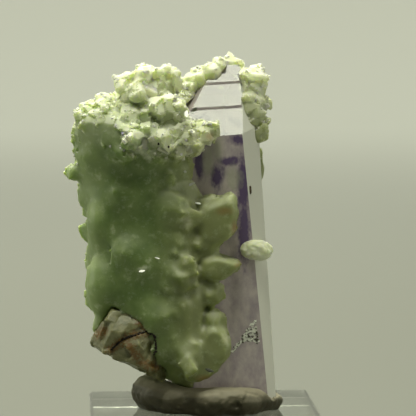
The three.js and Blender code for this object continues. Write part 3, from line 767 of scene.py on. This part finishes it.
# Crystals fused with the body: keep rule, tries, size, proportions, tilt, sunk share, seed.
FUSED_CRYSTALS = [
    (lambda at, way: ((at[:, 2] > 55) & (way[:, 2] > -0.3)
                      & ((at[:, 0] < -4) | (way[:, 1] > -0.3) | (way[:, 2] > 0.4))),
     5600, 1.2, (1, 0.6, 1.1), 0.4, 0.55, 61),
    (lambda at, way: (at[:, 2] > 51.5) & (at[:, 2] < 58) & (at[:, 1] < -7) & (at[:, 0] > -13),
     3000, 1.4, (1, 0.7, 1.2), 0.5, 0.58, 62),
    (lambda at, way: (at[:, 2] > 44) & (way[:, 0] < -0.5) & (at[:, 1] > -8),
     1300, 1.3, (1, 0.7, 0.9), 0.4, 0.8, 63),
    (lambda at, way: (at[:, 2] < 51) & (at[:, 0] > -7) & (at[:, 0] < -0.6) & (at[:, 1] < -3),
     520, 2.0, (1, 0.9, 0.8), 0.35, 0.86, 64),
    (lambda at, way: (at[:, 2] < 60) & (way[:, 1] > 0.1) & (at[:, 0] < 7.5) & (at[:, 1] > 1),
     2600, 1.7, (1, 0.7, 0.9), 0.4, 0.62, 65),
]
plain_block = block_parts(BLOCK_TAPER)
fused = [grown(plain_mesh, plain_block, *rule)[:2] for rule in FUSED_CRYSTALS]
grown_mesh = joined_mesh("prehnite_with_crystals", [mass_parts, *lobe_parts, *fused])
body_mesh = remeshed(grown_mesh, "prehnite_body_mesh", BODY_VOXEL)


def facet(mesh, pitch, tilt, depth_limit, weight, seed):
    """Cuts a mesh's surface into flat facets about pitch wide, each tilted its own way."""
    rng = np.random.default_rng(seed)
    at = points_of(mesh)
    ways = normals_of(mesh)
    width = math.sqrt(sum(face.area for face in mesh.polygons) / len(mesh.polygons))
    wanted = int(len(at) * (width / pitch) ** 2)
    picked = rng.choice(len(at), wanted, replace=False)
    seeds = kdtree.KDTree(wanted)
    for i, p in enumerate(picked):
        seeds.insert(at[p], i)
    seeds.balance()
    nearest = np.array([seeds.find(p)[1] for p in at])
    facing = ways[picked] + rng.normal(0, tilt, (wanted, 3))
    facing /= np.linalg.norm(facing, axis=1)[:, None]
    lifted = rng.normal(0, 0.1 * pitch, wanted)
    off_plane = np.einsum("ij,ij->i", at - at[picked][nearest], facing[nearest]) - lifted[nearest]
    slope = np.clip(np.einsum("ij,ij->i", ways, facing[nearest]), 0.4, 1)
    move = np.clip(-off_plane / slope, -depth_limit, depth_limit) * weight
    set_points(mesh, at + ways * move[:, None])


def eased(mesh, weight, rounds):
    """Draws each point of a mesh to the middle of its neighbours, by its weight, some rounds."""
    pairs = np.zeros(len(mesh.edges) * 2, np.int32)
    mesh.edges.foreach_get("vertices", pairs)
    one, other = pairs.reshape(-1, 2).T
    at = points_of(mesh).astype(float)
    count = np.bincount(one, minlength=len(at)) + np.bincount(other, minlength=len(at))
    for _ in range(rounds):
        for axis in range(3):
            total = (np.bincount(one, at[other, axis], len(at))
                     + np.bincount(other, at[one, axis], len(at)))
            at[:, axis] += EASING_STEP * weight * (total / count - at[:, axis])
    set_points(mesh, at)


def front_wall_share(at, ways):
    """1 on the smooth front wall of the mass, 0 on its cap, its back and its lumpy right part."""
    cap_foot = 51 * MM + 7 * MM * share_between(at[:, 0], -12.5 * MM, -14.5 * MM)
    below_cap = share_between(at[:, 2], cap_foot + 2 * MM, cap_foot - 1.5 * MM)
    in_front = share_between(ways[:, 1], -0.1, -0.5)
    return below_cap * in_front * share_between(at[:, 0], -5 * MM, -9 * MM)


def in_ovals(at, ovals, edge):
    """How deep each point lies in one of some ovals, seen from the front, up to 1."""
    deepest = np.zeros(len(at))
    for x, z, half_x, half_z in ovals:
        apart = np.hypot((at[:, 0] / MM - x) / half_x, (at[:, 2] / MM - z) / half_z)
        deepest = np.maximum(deepest, np.clip(edge - apart, 0, 1))
    return deepest


at = points_of(body_mesh)
ways = normals_of(body_mesh)
smooth_part = front_wall_share(at, ways)
eased(body_mesh, smooth_part, WALL_EASING_ROUNDS)
on_the_cap = share_between(at[:, 2], 50 * MM, 53 * MM)
behind = share_between(ways[:, 1], -0.2, 0.2)
sugary = np.maximum(on_the_cap, behind) * (1 - smooth_part)
eased(body_mesh, 1 - 0.75 * sugary, JOINT_EASING_ROUNDS)
swell = swells(at, PREHNITE_SWELLS)
set_points(body_mesh, points_of(body_mesh) + ways * (swell * MM)[:, None])
facet(body_mesh, FACET_PITCH, 0.26, FACET_DEPTH, sugary, 5)

# The lumps and the lobes' rims are cloudy and pale. The overhanging band is made paler as painted light
# from above.
band_painted_light = (share_between(at[:, 2], 51.5 * MM, 53.5 * MM) * share_between(at[:, 2], 58.5 * MM, 57 * MM)
        * share_between(at[:, 0], -14 * MM, -12 * MM) * (at[:, 1] < -7 * MM))
pale_share = in_ovals(at, WALL_LUMPS + LOBE_RIMS, CLOUDY_EDGE) * (ways[:, 1] < 0)
pale_share = np.maximum(0.75 * pale_share, band_painted_light)
stained_share = in_ovals(at, STAINED_SPOTS, STAIN_EDGE) * (ways[:, 1] < 0.2)
stain = body_mesh.attributes.new("stain", "FLOAT", "POINT")
stain.data.foreach_set("value", stained_share.astype(np.float32))
shade = body_mesh.attributes.new("shade", "FLOAT", "POINT")
shade.data.foreach_set("value", (0.9 * pale_share).astype(np.float32))


def prehnite_look(name, shades, warm, frost_and_top_light, roughness, depth_mm):
    """Prehnite in clouds of three shades that the light soaks into. It is warmer on the right and ochre
    where it is stained. It is paler at the left side as painted light, and whiter on top, partly a frost
    and partly painted light from above."""
    material, tree = new_material(name)
    place = add(tree, "ShaderNodeTexCoord")
    surface = add(tree, "ShaderNodeNewGeometry")
    own = add(tree, "ShaderNodeAttribute", attribute_name="shade")
    cloud = add(tree, "ShaderNodeTexNoise", {
        "Vector": place.outputs["Object"], "Scale": 1 / PREHNITE_CLOUD, "Detail": 5, "Roughness": 0.6,
    })
    mixed = add(tree, "ShaderNodeMath", {
        0: own.outputs["Fac"], 1: 0.3, 2: cloud.outputs["Fac"],
    }, operation="MULTIPLY_ADD")
    deep = add(tree, "ShaderNodeValToRGB", {"Fac": mixed.outputs["Value"]}, shades)
    veil = add(tree, "ShaderNodeTexNoise", {
        "Vector": place.outputs["Object"], "Scale": 1 / PREHNITE_VEIL, "Detail": 7, "Roughness": 0.72,
    })
    facing = add(tree, "ShaderNodeSeparateXYZ", {"Vector": surface.outputs["Normal"]})
    spot = add(tree, "ShaderNodeSeparateXYZ", {"Vector": place.outputs["Object"]})
    # Painted light: the left side is made paler and faces that look up are made whiter; whiter with
    # height is partly frost and partly painted light.
    veil_share, painted_left_light_share, right_share, painted_up_light_share, frost_and_height_light_share = (
        add(tree, "ShaderNodeMapRange", {
            "Value": value, "From Min": low, "From Max": high, "To Max": full,
        }).outputs["Result"]
        for value, low, high, full in [
            (veil.outputs["Fac"], 0.53, 0.7, 0.5),
            (spot.outputs["X"], -14.5 * MM, -19.5 * MM, 0.45),
            (spot.outputs["X"], -9 * MM, -2 * MM, 0.5),
            (facing.outputs["Z"], 0, 0.8, 0.5 * frost_and_top_light),
            (spot.outputs["Z"], 54 * MM, 65 * MM, 1.7 * frost_and_top_light),
        ]
    )
    frost_and_top_light_share = add(tree, "ShaderNodeMath", {
        0: painted_up_light_share, 1: frost_and_height_light_share,
    }, operation="ADD", use_clamp=True)
    iron = add(tree, "ShaderNodeAttribute", attribute_name="stain")
    iron_share = add(tree, "ShaderNodeMath", {
        0: iron.outputs["Fac"], 1: cloud.outputs["Fac"],
    }, operation="MULTIPLY")
    skin = layered(tree, deep.outputs["Color"], [
        (painted_left_light_share, "#a9bd7c"), (right_share, warm), (veil_share, "#b4c09c"),
        (frost_and_top_light_share.outputs["Value"], "#e4e8ca"), (iron_share.outputs["Value"], "#93672c"),
    ])
    grain = add(tree, "ShaderNodeTexNoise", {
        "Vector": place.outputs["Object"], "Scale": 1 / PREHNITE_GRAIN, "Detail": 3,
    })
    relief = add(tree, "ShaderNodeBump", {
        "Height": grain.outputs["Fac"], "Strength": 0.3, "Distance": 0.08 * MM,
    })
    stone = add(tree, "ShaderNodeBsdfPrincipled", {
        "Base Color": skin, "Roughness": roughness, "IOR": 1.63,
        "Subsurface Weight": 0.85, "Subsurface Radius": (0.9, 1.0, 0.5),
        "Subsurface Scale": depth_mm * MM, "Normal": relief.outputs["Normal"],
    })
    add(tree, "ShaderNodeOutputMaterial", {"Surface": stone.outputs["BSDF"]})
    return material


# Deep green prehnite: bottle green with milky veils, waxy, and soft where light soaks in.
deep_prehnite = prehnite_look("deep_green_prehnite", [
    (0.36, "#5d7736"), (0.62, "#788e4e"), (0.8, "#d3dabc"),
], "#9a976a", 0.52, 0.5, 2.8)
# Frosted prehnite: nearly white with a breath of green, from many small faces.
frosted_prehnite = prehnite_look("frosted_prehnite", [
    (0.3, "#c9d3a0"), (0.55, "#dde3be"), (0.85, "#f2f4e4"),
], "#dcdcb8", 0.5, 0.5, 3.2)

body = show("prehnite_body", body_mesh, deep_prehnite)
for face in body_mesh.polygons:
    face.use_smooth = bool(sugary[list(face.vertices)].max() < FLAT_SHADED_FROM)
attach(body, "root")
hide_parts("prehnite_mass")


# Prehnite crystals. Small blocky and tabular crystals that stand out of the mass with sharp
# edges: frosted grains on top, blocks on the overhanging band, blades on the crown and blocks
# on the back.
BLOCK_BEVEL = 0.07
LARGE_BLOCK_TAPER = 0.9


def crystals(name, material, keep, tries, size, proportions, tilt, sink, seed):
    """Grows separate crystals on the part of the mass that keep picks out."""
    points, faces, shades = grown(body_mesh, block_parts(BLOCK_TAPER, BLOCK_BEVEL), keep, tries,
                                  size, proportions, tilt, sink, seed)
    mesh = joined_mesh(name + "_mesh", [(points, faces)])
    shade = mesh.attributes.new("shade", "FLOAT", "POINT")
    shade.data.foreach_set("value", shades.astype(np.float32))
    made = show(name, mesh, material)
    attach(made, "root")
    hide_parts("prehnite_mass")


crystals("frosted_grains", frosted_prehnite,
         lambda at, way: (at[:, 2] > 53) & (way[:, 2] > 0.2) & (at[:, 0] < 0),
         3000, 0.5, (1, 0.7, 0.9), 0.5, 0.5, 31)
crystals("band_blocks", frosted_prehnite,
         lambda at, way: ((at[:, 2] > 52.5) & (at[:, 2] < 58.5) & (at[:, 1] < -7) & (way[:, 1] < 0)
                          & (at[:, 0] > -13.5)),
         900, 0.8, (1, 0.7, 1.1), 0.5, 0.7, 32)
crystals("crown_blades", frosted_prehnite,
         lambda at, way: (at[:, 2] > 58) & (at[:, 0] > -5) & (way[:, 2] > 0.3),
         2400, 0.6, (1, 0.5, 1.2), 0.5, 0.6, 33)
crystals("side_blocks", frosted_prehnite,
         lambda at, way: (at[:, 2] > 50) & (way[:, 0] < -0.6) & (at[:, 1] > -6),
         900, 0.6, (1, 0.7, 0.9), 0.4, 0.68, 34)
crystals("back_blocks", deep_prehnite,
         lambda at, way: (at[:, 2] < 60) & (way[:, 1] > 0.1) & (at[:, 0] < 7.5) & (at[:, 1] > 1),
         1500, 1.0, (1, 0.8, 0.9), 0.4, 0.66, 37)

# The blocky group at the top and the other large single crystals: place, sizes and turns about
# X, Y and Z in degrees.
LARGE_BLOCKS = [
    ((-7.4, -3.8, 65.3), (4.8, 4.0, 3.0), (6, 1, 14)),
    ((-10.7, -4.8, 64.4), (3.2, 3.4, 3.0), (-12, -16, 30)),
    ((-9.2, -7.2, 62.6), (2.6, 2.2, 3.0), (20, 24, 10)),
    ((-12.6, -6.6, 61.4), (2.2, 2.0, 2.4), (-10, 30, 25)),
    ((-5.6, -7.6, 61.4), (2.8, 2.4, 2.6), (30, 10, 40)),
    ((-14.2, -11.2, 54.4), (1.5, 1.4, 2.6), (10, -50, 8)),
    ((-12.4, -11.2, 54.6), (1.7, 1.5, 2.1), (-14, 24, 12)),
    ((-9.6, -12.3, 55.2), (2.0, 1.5, 1.8), (12, 12, 34)),
    ((-6.4, -12.2, 54.6), (2.1, 1.6, 2.0), (-10, 28, 20)),
    ((-3.2, -11.0, 55.6), (1.8, 1.6, 1.9), (16, -22, 30)),
    ((9.1, 1.6, 65.7), (1.5, 1.6, 1.5), (12, 20, 30)),
    ((10.1, 1.4, 60.4), (1.7, 0.8, 0.7), (10, -34, 20)),
]
blocks = []
points, faces = block_parts(LARGE_BLOCK_TAPER, BLOCK_BEVEL)
for at, size, turns in LARGE_BLOCKS:
    place = Matrix.Translation(Vector(at) * MM)
    for degrees, axis in zip(turns[::-1], "ZYX"):
        place = place @ Matrix.Rotation(math.radians(degrees), 4, axis)
    place = place @ Matrix.Diagonal(Vector(size) * MM).to_4x4()
    blocks.append(([place @ Vector(p) for p in points], faces))
large = show("large_blocks", joined_mesh("large_blocks_mesh", blocks), frosted_prehnite)
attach(large, "root")
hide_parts("prehnite_mass")


# Prehnite bud. One small rounded sheaf of thin tablets that open about one axis, grown on the
# amethyst's right edge apart from the mass.
BUD_AT = Vector((8.7, -5.3, 37.1)) * MM
BUD_REACH = (2.75, 1.6, 1.75)
BUD_LEAN = math.radians(3)
BUD_TABLETS = 7
BUD_OPENING = math.radians(75)
BUD_TABLET_HALF_THICKNESS = 0.75 * MM
BUD_VOXEL = 0.16 * MM
BUD_FACET_PITCH = 0.9 * MM
BUD_FACET_DEPTH = 0.12 * MM

reach_x, reach_y, reach_z = (reach * MM for reach in BUD_REACH)
tablets = []
for i in range(BUD_TABLETS):
    tip = BUD_OPENING * (i / (BUD_TABLETS - 1) - 0.5) * 2
    turn = Matrix.Rotation(BUD_LEAN, 4, "Y") @ Matrix.Diagonal((1, 1, reach_z / reach_y, 1))
    turn = turn @ Matrix.Rotation(tip, 4, "X")
    half_sizes = (reach_x * (1 - 0.05 * (i % 3)), reach_y, BUD_TABLET_HALF_THICKNESS)
    tablets.append(ball_parts(3, half_sizes, BUD_AT, turn))
bud_mesh = remeshed(joined_mesh("bud_plain", tablets), "prehnite_bud_tablets_mesh", BUD_VOXEL)
eased(bud_mesh, 1, 1)
facet(bud_mesh, BUD_FACET_PITCH, 0.25, BUD_FACET_DEPTH, 1, 51)
eased(bud_mesh, 1, 1)

# Bud prehnite: cream with a little green, softly ribbed.
bud_prehnite = prehnite_look("bud_prehnite", [
    (0.3, "#ccd3b0"), (0.55, "#dde1c4"), (0.85, "#edefdd"),
], "#e0e3cc", 0.4, 0.5, 1.0)
bud = show("prehnite_bud_tablets", bud_mesh, bud_prehnite, smooth=True)
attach(bud, "root")
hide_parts("prehnite_bud")


# Cleavage cracks. A few flat cracks in the prehnite, and in a small quartz crystal beside the amethyst's
# termination, are white plates: painted glints where they reflect the light whole. Three others are dark
# grey plates: two painted reflections of the dim room beside the termination, and a dark spot at the
# mass's foot.
# Both as X, Z, half width and half height in millimetres, and lean in degrees.
GLINTS = [
    (-3.1, 50.3, 0.26, 0.36, 40), (-2.2, 48.1, 1.0, 0.26, 25), (-0.9, 45.1, 0.9, 0.2, -12),
    (-2.95, 60.2, 0.42, 1.25, 10), (-4.0, 60.2, 0.2, 0.24, 0), (-3.9, 59.5, 0.16, 0.2, 40),
    (-3.8, 60.9, 0.18, 0.16, 10), (-4.3, 59.8, 0.12, 0.12, 0), (-10.1, 34.3, 0.6, 0.26, 8),
    (-7.6, 36.4, 0.5, 0.12, -20),
]
SHADED_FACETS = [
    (-2.3, 61.5, 0.5, 0.7, 15), (-1.7, 59.9, 0.35, 0.9, -38), (0.9, 17.8, 0.9, 0.28, -20),
]
GLINT_HALF_THICKNESS = 0.025
GLINT_LIFT = 0.2 * MM
# Turned back like the termination, so that they mirror the overhead lamp too.
GLINT_TILT = Matrix.Rotation(math.radians(-38), 4, "X")
SHADED_HALF_THICKNESS = 0.1

body_shape = closed_shape(body_mesh)
shaded = []
for x, z, half_x, half_z, lean in SHADED_FACETS:
    seat = front_of(x, z, body_shape, crystal_shape)[0]
    half_sizes = Vector((half_x, SHADED_HALF_THICKNESS, half_z)) * MM
    shaded.append(ball_parts(1, half_sizes, seat, Matrix.Rotation(math.radians(-lean), 4, "Y")))

# Shaded cleavage: small dark grey plates, painted reflections of the dim room.
shaded_cleavage = one_colour("shaded_cleavage", "#63655a", 0.25)
shade_facets = show("shaded_facets", joined_mesh("shaded_facets_mesh", shaded), shaded_cleavage)
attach(shade_facets, "root")

glints = []
for x, z, half_x, half_z, lean in GLINTS:
    seat = front_of(x, z, body_shape)[0] - Vector((0, GLINT_LIFT, 0))
    half_sizes = Vector((half_x, GLINT_HALF_THICKNESS, half_z)) * MM
    glints.append(ball_parts(1, half_sizes, seat,
                             GLINT_TILT @ Matrix.Rotation(math.radians(-lean), 4, "Y")))

# Bright cleavage: white plates, painted glints.
painted_glint_cleavage = one_colour("painted_glint_cleavage", "#f4f5ee", 0.15)
glint = show("cleavage_glints", joined_mesh("glint_mesh", glints), painted_glint_cleavage)
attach(glint, "root")
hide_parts("prehnite_mass")


# Rusty quartz. A stout quartz crystal in the foot of the mass, cracked across, with iron rust
# in the crack and in its pits.
QUARTZ_VOXEL = 0.22 * MM
QUARTZ_SWELLS = [(0.1, 1.6, 14), (0.05, 0.6, 15)]
QUARTZ_FACET_PITCH = 2.2 * MM
QUARTZ_FACET_DEPTH = 0.35 * MM
CRACK_LINE = [
    (-15.2, 21.4), (-13.2, 23.1), (-11.5, 23.8), (-9.4, 24.2), (-8.1, 23.8), (-7.8, 21.8),
    (-8.2, 20.4),
]
# Rust lies along the crack, in a band under it and at the crystal's upper right edge.
RUST_PATHS = [
    CRACK_LINE[:4], [(-12.4, 22.6), (-11.2, 20.9), (-10.2, 19.4), (-8.0, 18.2)],
    [(-10.4, 25.8), (-8.6, 24.4)], [(-17.2, 23.6), (-16.4, 24.4)],
]
RUST_REACH = 1.5
QUARTZ_CLOUD = 1.1 * MM
RUST_SPECKLE = 0.45 * MM
# Nearly black crumbs that overlap along the crack, in millimetres, and two dark specks in the pale band.
CRUMB_PITCH = 0.16
CRUMB_SCATTER = 0.06
CRUMB_HALF_SIZE = 0.19 * MM
DARK_SPECKS = [(-7.3, 55.2), (-5.7, 54.7)]
DARK_SPECK_REACH = Vector((0.22, 0.2, 0.26)) * MM

rusty_mesh = remeshed(node_mesh("rusty_quartz", "rusty_plain"), "rusty_quartz_mesh", QUARTZ_VOXEL)
at = points_of(rusty_mesh)
swell = swells(at, QUARTZ_SWELLS)
set_points(rusty_mesh, at + normals_of(rusty_mesh) * (swell * MM)[:, None])
facet(rusty_mesh, QUARTZ_FACET_PITCH, 0.16, QUARTZ_FACET_DEPTH, 1, 16)
rusty_shape = closed_shape(rusty_mesh)
near_rust = np.zeros(len(at))
for path in RUST_PATHS:
    for start, end in zip(path, path[1:]):
        near_rust = np.maximum(near_rust, np.clip(1 - off_line(at, start, end) / RUST_REACH, 0, 1))
rusted = rusty_mesh.attributes.new("near_rust", "FLOAT", "POINT")
rusted.data.foreach_set("value", near_rust.astype(np.float32))

# Iron-stained quartz: greyish olive, dull glassy and pitted, with rust brown in streaks.
stained, tree = new_material("iron_stained_quartz")
place = add(tree, "ShaderNodeTexCoord")
near = add(tree, "ShaderNodeAttribute", attribute_name="near_rust")
cloud = add(tree, "ShaderNodeTexNoise", {
    "Vector": place.outputs["Object"], "Scale": 1 / QUARTZ_CLOUD, "Detail": 5, "Roughness": 0.6,
})
speckle = add(tree, "ShaderNodeTexNoise", {
    "Vector": place.outputs["Object"], "Scale": 1 / RUST_SPECKLE, "Detail": 5, "Roughness": 0.75,
})
rust_chance = add(tree, "ShaderNodeMath", {
    0: near.outputs["Fac"], 1: 0.3, 2: speckle.outputs["Fac"],
}, operation="MULTIPLY_ADD")
rust_share = add(tree, "ShaderNodeMapRange", {
    "Value": rust_chance.outputs["Value"], "From Min": 0.62, "From Max": 0.76,
})
quartz_share = add(tree, "ShaderNodeMapRange", {
    "Value": cloud.outputs["Fac"], "From Min": 0.35, "From Max": 0.65,
})
stain = layered(tree, rgb("#65673f"), [
    (quartz_share.outputs["Result"], "#8b8a66"), (rust_share.outputs["Result"], "#6f5221"),
])
pits = add(tree, "ShaderNodeBump", {
    "Height": speckle.outputs["Fac"], "Strength": 0.5, "Distance": 0.2 * MM,
})
glassy = add(tree, "ShaderNodeBsdfPrincipled", {
    "Base Color": stain, "Roughness": 0.3, "IOR": 1.544, "Normal": pits.outputs["Normal"],
    "Subsurface Weight": 0.6, "Subsurface Radius": (1, 0.9, 0.6), "Subsurface Scale": 1 * MM,
})
add(tree, "ShaderNodeOutputMaterial", {"Surface": glassy.outputs["BSDF"]})
rusty = show("rusty_quartz_crystal", rusty_mesh, stained, smooth=True)
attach(rusty, "root")
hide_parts("rusty_quartz")

# Crumbs along the crack: nearly black and dull.
crack_black = one_colour("black_in_the_crack", "#1d1408", 0.8)
rng = np.random.default_rng(41)
crumbs = []
for (x0, z0), (x1, z1) in zip(CRACK_LINE, CRACK_LINE[1:]):
    steps = max(2, int(math.hypot(x1 - x0, z1 - z0) / CRUMB_PITCH))
    for i in range(steps):
        x = x0 + (x1 - x0) * i / steps + rng.normal(0, CRUMB_SCATTER)
        z = z0 + (z1 - z0) * i / steps + rng.normal(0, CRUMB_SCATTER)
        seat = front_of(x, z, rusty_shape, body_shape)[0]
        if seat is None:
            continue
        half = float(CRUMB_HALF_SIZE * (0.55 + 0.7 * rng.random()))
        crumbs.append(ball_parts(1, (half * 1.3, half * 0.6, half), seat))
for x, z in DARK_SPECKS:
    crumbs.append(ball_parts(1, DARK_SPECK_REACH, front_of(x, z, body_shape)[0]))
crack = show("crack_in_the_quartz", joined_mesh("crack_mesh", crumbs), crack_black, smooth=True)
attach(crack, "root")
